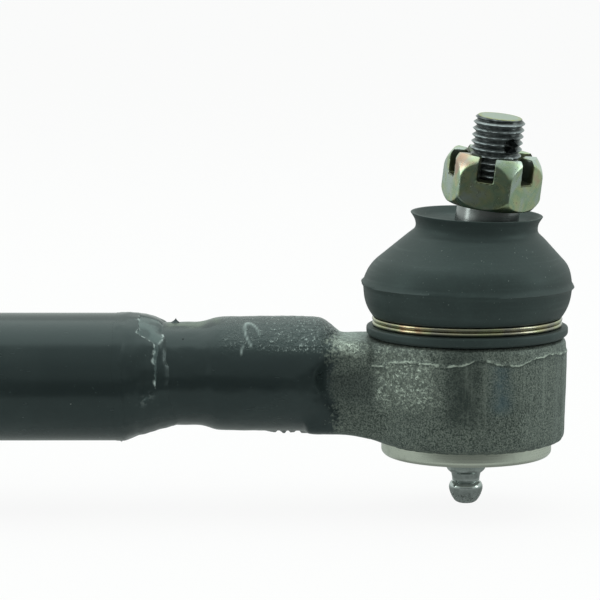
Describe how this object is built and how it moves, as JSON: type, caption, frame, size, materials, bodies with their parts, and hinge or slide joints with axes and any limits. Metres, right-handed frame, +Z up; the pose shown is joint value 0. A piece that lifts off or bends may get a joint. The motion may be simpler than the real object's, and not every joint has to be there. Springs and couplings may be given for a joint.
{
  "type": "steering rod",
  "caption": "Steering rod: a tube welded to a forged arm whose eye holds a ball stud under a rubber boot, with castle nut and grease nipple.",
  "frame": {"origin": "centre of the tube's open end face", "axes": "+X along the tube towards the ball joint, +Z up on the stud's side, +Y across"},
  "size_m": [0.201, 0.0414, 0.0766],
  "materials": {
    "black_paint": "gloss black paint over a rough forging",
    "weld_paint": "gloss black paint over a weld",
    "forging": "grey phosphated forging",
    "bright_steel": "turned steel",
    "yellow_zinc": "yellow passivated zinc",
    "white_zinc": "bright zinc plate",
    "spring_steel": "spring steel",
    "boot_rubber": "matt black rubber",
    "seat_plastic": "natural bearing plastic"
  },
  "bodies": {
    "rod": {"rod_tube": "black_paint", "weld_bead": "weld_paint", "ball_housing": "forging", "upper_seat": "seat_plastic", "lower_seat": "seat_plastic", "disc_spring": "spring_steel", "end_plate": "white_zinc", "nipple_body": "white_zinc", "nipple_check_spring": "spring_steel"},
    "check_ball": {"nipple_check_ball": "spring_steel"},
    "boot_foot": {"boot_ring": "yellow_zinc"},
    "boot_neck": {"dust_boot": "boot_rubber"},
    "stud": {"ball_stud": "bright_steel"},
    "nut": {"castle_nut": "yellow_zinc"}
  },
  "joints": [
    {"name": "ball_swing", "type": "hinge", "parent": "rod", "child": "boot_foot", "pos_m": [0.18, 0, 0], "axis": [0, 0, 1], "continuous": true},
    {"name": "ball_tilt", "type": "hinge", "parent": "boot_foot", "child": "boot_neck", "pos_m": [0.18, 0, 0], "axis": [0.6691, 0.7431, 0], "range_deg": [-8.6, 15.4], "deforming": ["dust_boot"]},
    {"name": "stud_spin", "type": "hinge", "parent": "boot_neck", "child": "stud", "pos_m": [0.18, 0, 0], "axis": [0.1111, -0.1001, 0.9888], "continuous": true},
    {"name": "nut_travel", "type": "slide", "parent": "stud", "child": "nut", "axis": [0.1111, -0.1001, 0.9888], "range_m": [0, 0.0174]},
    {"name": "check_ball_lift", "type": "slide", "parent": "rod", "child": "check_ball", "axis": [0, 0, 1], "range_m": [0, 0.0008], "stiffness_N_per_m": 40, "springref_m": -0.001, "deforming": ["nipple_check_spring"]}
  ]
}
